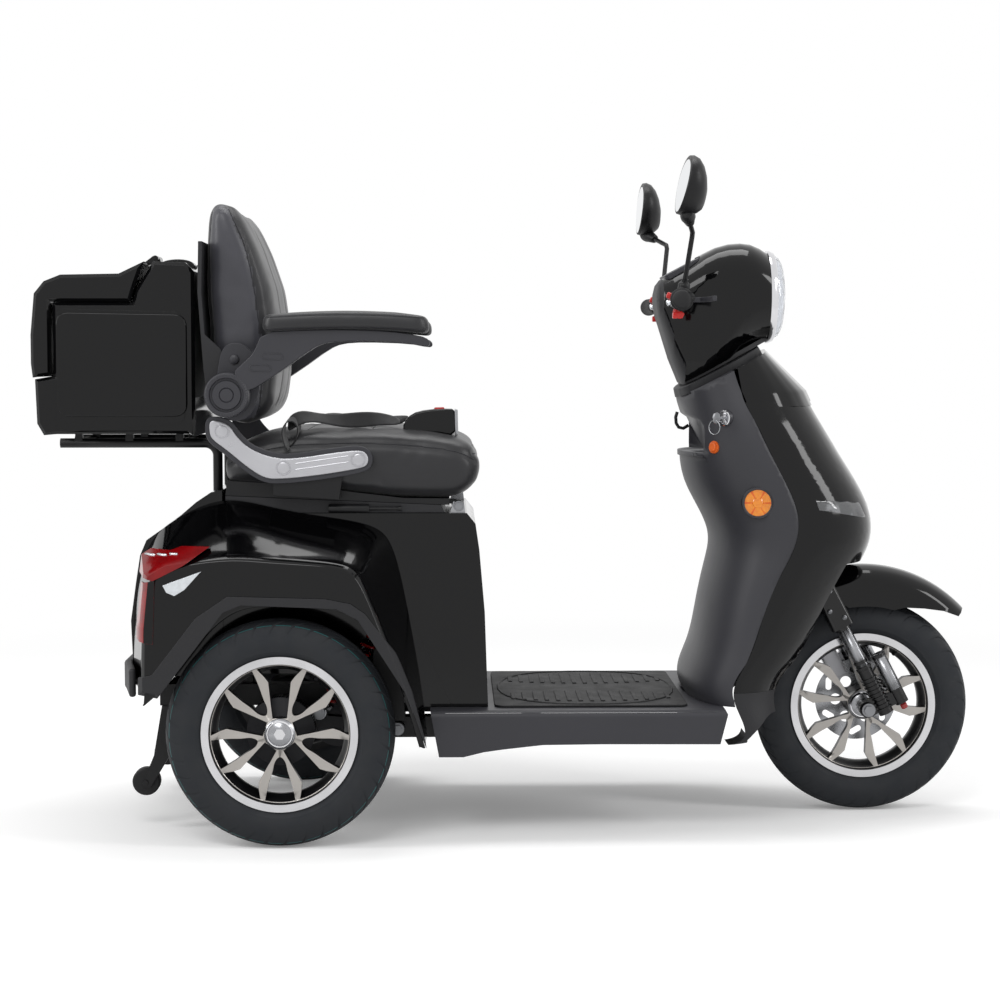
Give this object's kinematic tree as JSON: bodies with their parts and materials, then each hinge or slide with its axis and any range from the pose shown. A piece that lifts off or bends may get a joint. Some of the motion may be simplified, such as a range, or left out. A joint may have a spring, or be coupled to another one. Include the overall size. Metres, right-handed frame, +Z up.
{
  "type": "electric passenger tricycle",
  "caption": "Seated electric tricycle with a steered front wheel, driven rear axle, folding armchair seat, foot deck, leg shield, lamps, mirrors and a lidded rear trunk.",
  "frame": {"origin": "on the ground under the middle of the overall length, on the centre plane", "axes": "+X forward, +Y to the rider's left, +Z up"},
  "size_m": [1.7784, 0.7446, 1.2434],
  "materials": {
    "frame_enamel": "satin",
    "axle_enamel": "satin",
    "fork_enamel": "gloss",
    "spring_enamel": "gloss",
    "body_plastic": "gloss",
    "trim_plastic": "satin textured",
    "mat_rubber": "matte",
    "tyre_rubber": "matte",
    "rim_alloy": "machined",
    "cast_alloy": "satin",
    "bright_steel": "polished",
    "chrome_plate": "mirror",
    "black_steel": "satin",
    "battery_case": "matte",
    "seat_vinyl": "grained",
    "belt_webbing": "woven",
    "clear_lens": "clear",
    "red_lens": "gloss",
    "amber_lens": "gloss"
  },
  "bodies": {
    "chassis": {"frame": "frame_enamel", "rear_frame": "frame_enamel", "steering_head": "frame_enamel", "rear_axle": "axle_enamel", "shock_springs": "spring_enamel", "front_fairing": "body_plastic", "rear_fender_left": "body_plastic", "rear_fender_right": "body_plastic", "seat_box": "body_plastic", "tail_panel": "body_plastic", "trunk_base": "body_plastic", "seat_ledge": "trim_plastic", "fairing_trim": "trim_plastic", "foot_deck": "trim_plastic", "leg_shield": "trim_plastic", "arch_trims": "trim_plastic", "rear_bumper": "trim_plastic", "floor_mat": "mat_rubber", "shock_absorbers": "bright_steel", "seat_hinges": "bright_steel", "ignition_lock": "chrome_plate", "carrier_rack": "black_steel", "battery_pack": "battery_case", "front_light_bar": "clear_lens", "rear_indicators": "clear_lens", "tail_lamps": "red_lens", "side_reflectors": "amber_lens"},
    "steering": {"fork": "fork_enamel", "fork_dampers": "bright_steel", "front_fender": "body_plastic", "brake_caliper": "cast_alloy", "handlebar": "black_steel", "grips": "mat_rubber", "brake_levers": "trim_plastic", "mirrors": "trim_plastic", "handlebar_cover": "body_plastic", "instrument_panel": "trim_plastic", "headlamp_bezel": "chrome_plate", "headlamp_lens": "clear_lens"},
    "front_wheel": {"front_rim": "rim_alloy", "front_tyre": "tyre_rubber", "front_brake_disc": "bright_steel"},
    "rear_wheel_left": {"rear_rim_left": "rim_alloy", "rear_tyre_left": "tyre_rubber"},
    "rear_wheel_right": {"rear_rim_right": "rim_alloy", "rear_tyre_right": "tyre_rubber"},
    "anti_tip_left": {"anti_tip_wheel_left": "mat_rubber"},
    "anti_tip_right": {"anti_tip_wheel_right": "mat_rubber"},
    "lid": {"trunk_lid": "body_plastic", "trunk_reflector": "red_lens"},
    "seat": {"seat_pan": "black_steel", "seat_cushion": "seat_vinyl", "side_brackets": "cast_alloy", "seat_belt": "belt_webbing"},
    "backrest": {"backrest_frame": "trim_plastic", "backrest_cushion": "seat_vinyl"},
    "armrest_left": {"armrest_arm_left": "trim_plastic", "armrest_pad_left": "seat_vinyl"},
    "armrest_right": {"armrest_arm_right": "trim_plastic", "armrest_pad_right": "seat_vinyl"}
  },
  "joints": [
    {"name": "steer", "type": "hinge", "parent": "chassis", "child": "steering", "pos_m": [0.47589, 0, 0.66414], "axis": [-0.4648, 0, 0.8854], "range_deg": [-35, 35]},
    {"name": "front_wheel_spin", "type": "hinge", "parent": "steering", "child": "front_wheel", "pos_m": [0.68175, 0, 0.2075], "axis": [0, 1, 0], "continuous": true},
    {"name": "rear_wheel_left_spin", "type": "hinge", "parent": "chassis", "child": "rear_wheel_left", "pos_m": [-0.42825, 0.3, 0.2075], "axis": [0, 1, 0], "continuous": true},
    {"name": "rear_wheel_right_spin", "type": "hinge", "parent": "chassis", "child": "rear_wheel_right", "pos_m": [-0.42825, -0.3, 0.2075], "axis": [0, 1, 0], "continuous": true},
    {"name": "anti_tip_left_spin", "type": "hinge", "parent": "chassis", "child": "anti_tip_left", "pos_m": [-0.69225, 0.15, 0.089], "axis": [0, 1, 0], "continuous": true},
    {"name": "anti_tip_right_spin", "type": "hinge", "parent": "chassis", "child": "anti_tip_right", "pos_m": [-0.69225, -0.15, 0.089], "axis": [0, 1, 0], "continuous": true},
    {"name": "trunk_lid_hinge", "type": "hinge", "parent": "chassis", "child": "lid", "pos_m": [-0.66625, 0, 1.066], "axis": [0, 1, 0], "range_deg": [0, 75]},
    {"name": "seat_tilt", "type": "hinge", "parent": "chassis", "child": "seat", "pos_m": [-0.10525, 0, 0.61], "axis": [0, 1, 0], "range_deg": [0, 45]},
    {"name": "backrest_fold", "type": "hinge", "parent": "seat", "child": "backrest", "pos_m": [-0.52325, 0, 0.816], "axis": [0, 1, 0], "range_deg": [0, 50]},
    {"name": "armrest_left_lift", "type": "hinge", "parent": "seat", "child": "armrest_left", "pos_m": [-0.52325, 0.25, 0.816], "axis": [0, -1, 0], "range_deg": [0, 90]},
    {"name": "armrest_right_lift", "type": "hinge", "parent": "seat", "child": "armrest_right", "pos_m": [-0.52325, -0.25, 0.816], "axis": [0, -1, 0], "range_deg": [0, 90]}
  ]
}
